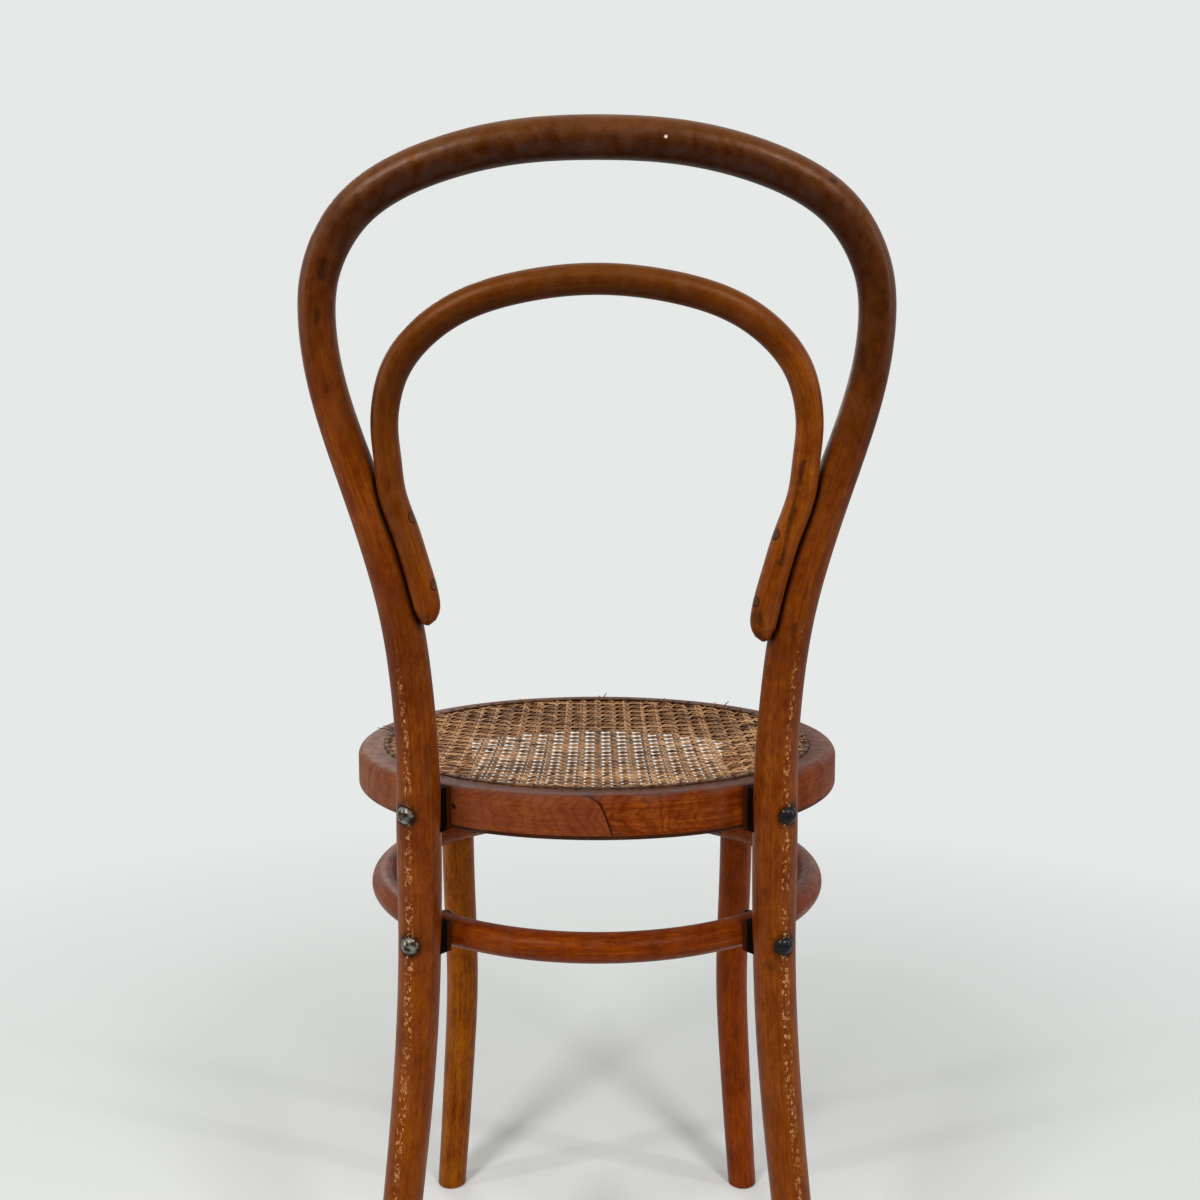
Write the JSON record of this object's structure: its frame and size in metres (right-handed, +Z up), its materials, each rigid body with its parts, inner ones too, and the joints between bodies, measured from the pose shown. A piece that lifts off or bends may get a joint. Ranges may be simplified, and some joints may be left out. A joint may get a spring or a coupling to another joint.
{
  "type": "bentwood chair",
  "caption": "Bentwood bistro side chair: hooped back continuous with the rear legs, inner loop, round caned seat, front legs and a leg ring.",
  "frame": {"origin": "On the floor, under the middle of the chair's bounding box", "axes": "+Z up; +Y towards the back of the chair, so that it faces -Y; +X towards the chair's own left"},
  "size_m": [0.391, 0.465, 0.9075],
  "materials": {
    "hoop_wood": "stained beech, worn shellac",
    "loop_wood": "stained beech, worn shellac",
    "plug_wood": "end grain, dark",
    "seat_wood": "stained beech, rubbed",
    "ring_wood": "stained beech, satin",
    "leg_wood": "stained beech, satin",
    "packer_wood": "blackened",
    "cane": "aged rattan cane",
    "grey_steel": "worn",
    "bright_steel": "plain",
    "black_steel": "black, satin"
  },
  "bodies": {
    "root": {"back_frame": "hoop_wood", "inner_loop": "loop_wood", "loop_screws": "bright_steel", "loop_plugs": "plug_wood", "seat_ring": "seat_wood", "cane_panel": "cane", "cane_binding": "cane", "leg_ring": "ring_wood", "front_leg_left": "leg_wood", "front_leg_right": "leg_wood", "seat_packer_left": "packer_wood", "seat_packer_right": "packer_wood", "ring_packer_left": "packer_wood", "ring_packer_right": "packer_wood", "seat_bolt_left": "grey_steel", "seat_bolt_right": "black_steel", "ring_bolt_left": "grey_steel", "ring_bolt_right": "black_steel", "bolt_washers_left": "grey_steel", "bolt_washers_right": "black_steel", "bolt_nuts_left": "grey_steel", "bolt_nuts_right": "black_steel", "front_screw_left": "black_steel", "front_screw_right": "black_steel"}
  },
  "joints": []
}
